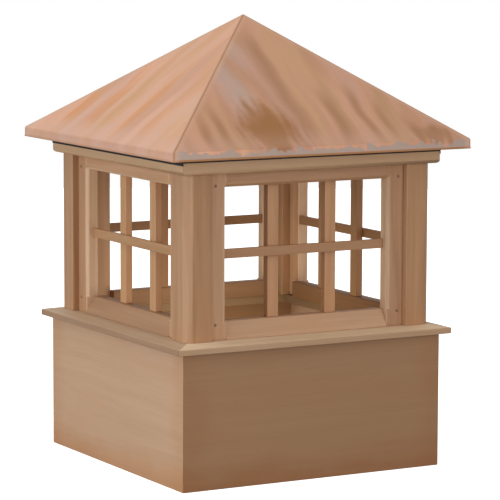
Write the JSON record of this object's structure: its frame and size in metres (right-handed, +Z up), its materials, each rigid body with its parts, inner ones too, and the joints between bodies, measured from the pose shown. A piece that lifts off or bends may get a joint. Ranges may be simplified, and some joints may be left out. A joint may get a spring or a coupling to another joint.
{
  "type": "windowed roof cupola",
  "caption": "Square wooden roof cupola: a plain hollow base, a projecting collar, an open lantern with barred windows between corner posts, a crown moulding and a copper hip roof.",
  "frame": {"origin": "on the ground, at the middle of the underside of the base", "axes": "+Z up through the point of the roof; -Y out through the front window, +X to its right"},
  "size_m": [0.754, 0.754, 1.023],
  "materials": {
    "base_wood": "planed softwood with an oiled finish, broad pale figure",
    "trim_wood": "planed softwood, a little greyed on its upper faces",
    "post_wood": "planed softwood with straight upright grain",
    "window_wood": "planed softwood with straight grain",
    "bar_wood": "planed softwood bars, unpainted",
    "roof_wood": "sawn roof boards seen from below",
    "copper": "bare sheet copper, brushed by handling, with soft streaks and brown tarnish along the eaves"
  },
  "bodies": {
    "root": {"front_base_panel": "base_wood", "right_base_panel": "base_wood", "back_base_panel": "base_wood", "left_base_panel": "base_wood", "front_collar_board": "trim_wood", "right_collar_board": "trim_wood", "back_collar_board": "trim_wood", "left_collar_board": "trim_wood", "front_window_stiles": "window_wood", "right_window_stiles": "window_wood", "back_window_stiles": "window_wood", "left_window_stiles": "window_wood", "front_window_top_rail": "window_wood", "right_window_top_rail": "window_wood", "back_window_top_rail": "window_wood", "left_window_top_rail": "window_wood", "front_window_sill": "window_wood", "right_window_sill": "window_wood", "back_window_sill": "window_wood", "left_window_sill": "window_wood", "front_window_cross_bar": "bar_wood", "right_window_cross_bar": "bar_wood", "back_window_cross_bar": "bar_wood", "left_window_cross_bar": "bar_wood", "front_window_upright_bars": "bar_wood", "right_window_upright_bars": "bar_wood", "back_window_upright_bars": "bar_wood", "left_window_upright_bars": "bar_wood", "front_crown_beam": "trim_wood", "right_crown_beam": "trim_wood", "back_crown_beam": "trim_wood", "left_crown_beam": "trim_wood", "front_roof_boards": "roof_wood", "right_roof_boards": "roof_wood", "back_roof_boards": "roof_wood", "left_roof_boards": "roof_wood", "front_copper_slope": "copper", "right_copper_slope": "copper", "back_copper_slope": "copper", "left_copper_slope": "copper", "front_right_post": "post_wood", "back_right_post": "post_wood", "back_left_post": "post_wood", "front_left_post": "post_wood"}
  },
  "joints": []
}
